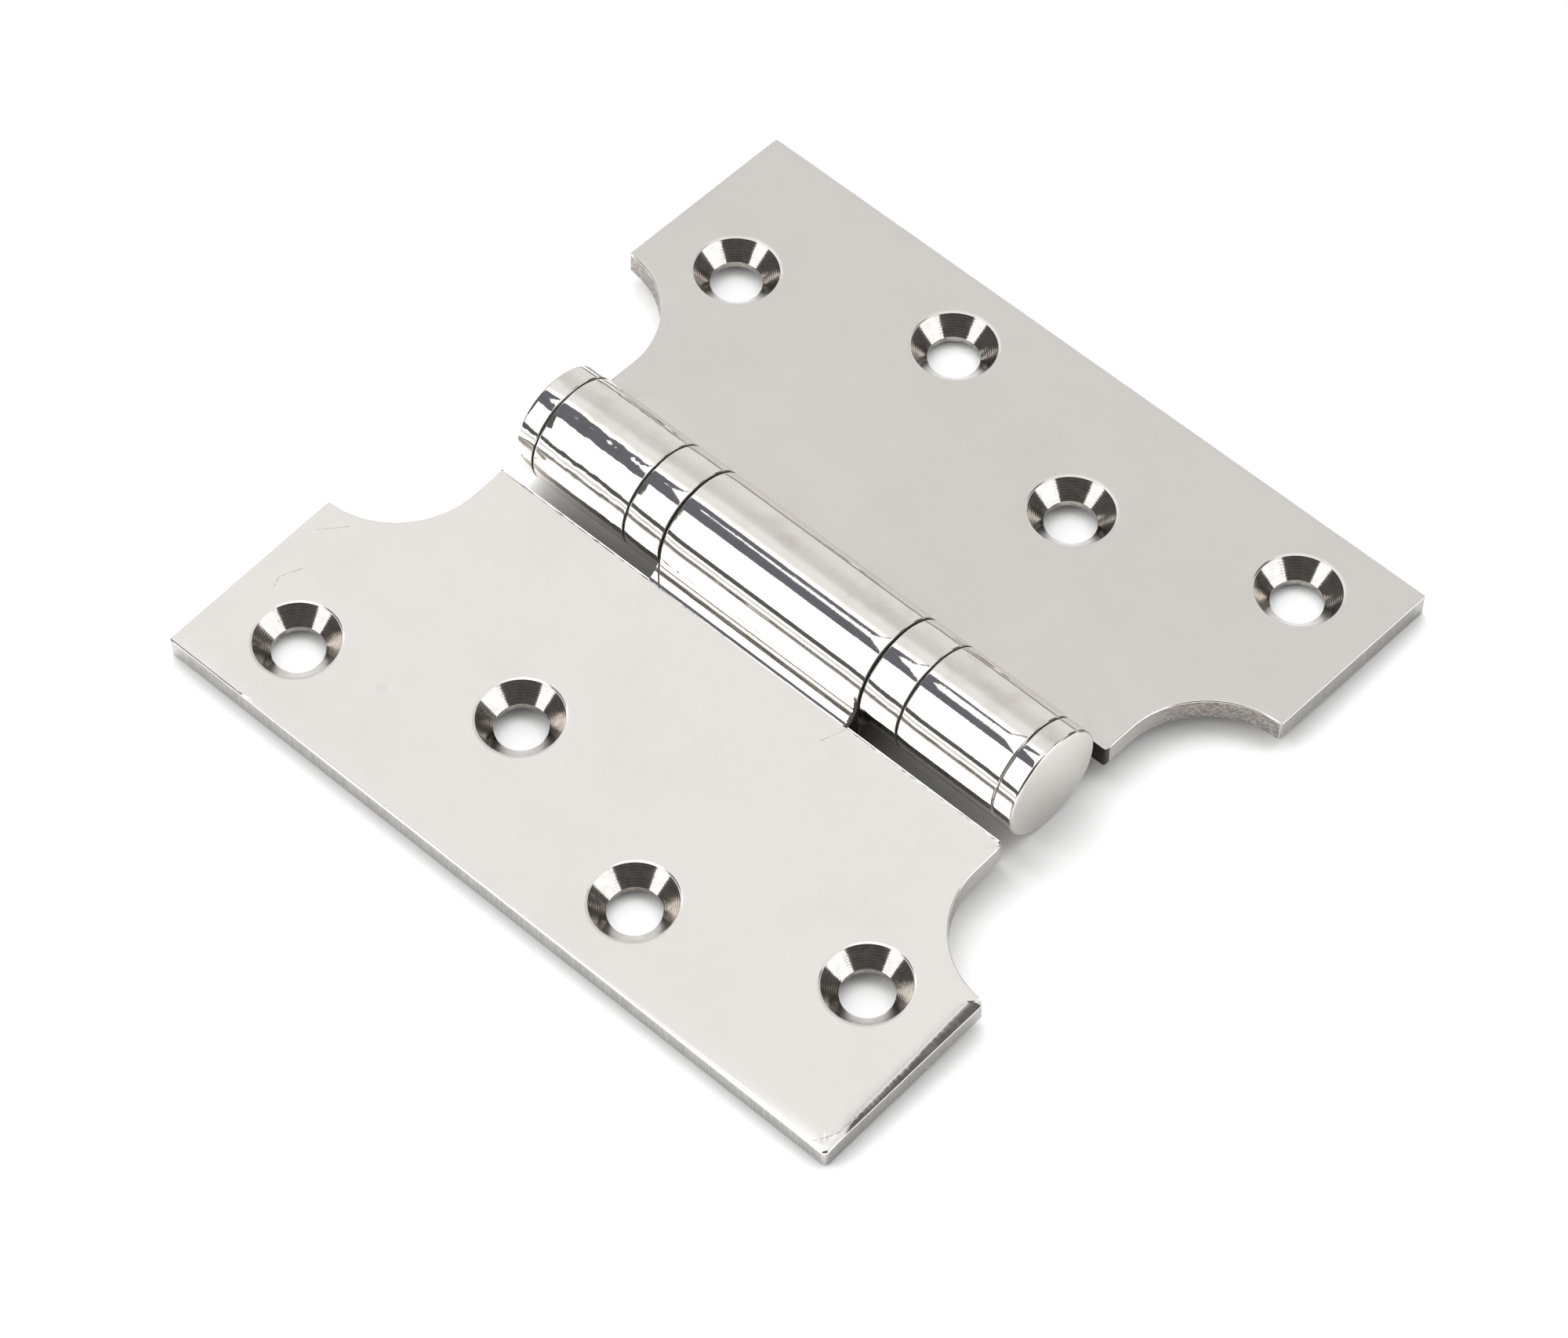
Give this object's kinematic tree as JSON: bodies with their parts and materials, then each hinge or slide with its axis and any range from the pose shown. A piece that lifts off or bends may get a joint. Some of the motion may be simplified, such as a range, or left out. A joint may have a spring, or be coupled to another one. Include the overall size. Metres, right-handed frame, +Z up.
{
  "type": "parliament hinge",
  "caption": "Parliament hinge with ball bearings: two broad polished steel leaves with quarter-round cut corners and countersunk screw holes, on a flush round barrel.",
  "frame": {"origin": "on the floor under the middle of the barrel, at the bottom centre of the box, with the hinge lying open at rest", "axes": "+Y along the barrel, +X towards the two-knuckle leaf, +Z up; leaf faces up"},
  "size_m": [0.1028, 0.102, 0.0142],
  "materials": {
    "polished_leaf": "polished",
    "polished_barrel": "polished",
    "pin_steel": "satin",
    "race_steel": "polished",
    "cage_brass": "satin",
    "ball_steel": "polished"
  },
  "bodies": {
    "two_knuckle_side": {"two_knuckle_leaf": "polished_leaf", "hinge_pin": "pin_steel", "upper_end_cap": "polished_barrel", "upper_bearing_shell": "polished_barrel", "upper_fixed_race": "race_steel", "lower_end_cap": "polished_barrel", "lower_bearing_shell": "polished_barrel", "lower_fixed_race": "race_steel"},
    "single_knuckle_side": {"single_knuckle_leaf": "polished_leaf", "upper_turning_race": "race_steel", "lower_turning_race": "race_steel"},
    "upper_ball_ring": {"upper_ball_cage": "cage_brass", "upper_bearing_ball_1": "ball_steel", "upper_bearing_ball_2": "ball_steel", "upper_bearing_ball_3": "ball_steel", "upper_bearing_ball_4": "ball_steel", "upper_bearing_ball_5": "ball_steel", "upper_bearing_ball_6": "ball_steel", "upper_bearing_ball_7": "ball_steel", "upper_bearing_ball_8": "ball_steel"},
    "lower_ball_ring": {"lower_ball_cage": "cage_brass", "lower_bearing_ball_1": "ball_steel", "lower_bearing_ball_2": "ball_steel", "lower_bearing_ball_3": "ball_steel", "lower_bearing_ball_4": "ball_steel", "lower_bearing_ball_5": "ball_steel", "lower_bearing_ball_6": "ball_steel", "lower_bearing_ball_7": "ball_steel", "lower_bearing_ball_8": "ball_steel"}
  },
  "joints": [
    {"name": "leaf_swing", "type": "hinge", "parent": "two_knuckle_side", "child": "single_knuckle_side", "pos_m": [0, 0, 0.0071], "axis": [0, 1, 0], "range_deg": [-116, 188.5]},
    {"name": "upper_cage_turn", "type": "hinge", "parent": "two_knuckle_side", "child": "upper_ball_ring", "pos_m": [0, 0, 0.0071], "axis": [0, 1, 0], "range_deg": [-58, 94.25]},
    {"name": "lower_cage_turn", "type": "hinge", "parent": "two_knuckle_side", "child": "lower_ball_ring", "pos_m": [0, 0, 0.0071], "axis": [0, 1, 0], "range_deg": [-58, 94.25]}
  ],
  "couplings": [
    {"joint": "upper_cage_turn", "follows": "leaf_swing", "ratio": 0.5},
    {"joint": "lower_cage_turn", "follows": "leaf_swing", "ratio": 0.5}
  ]
}
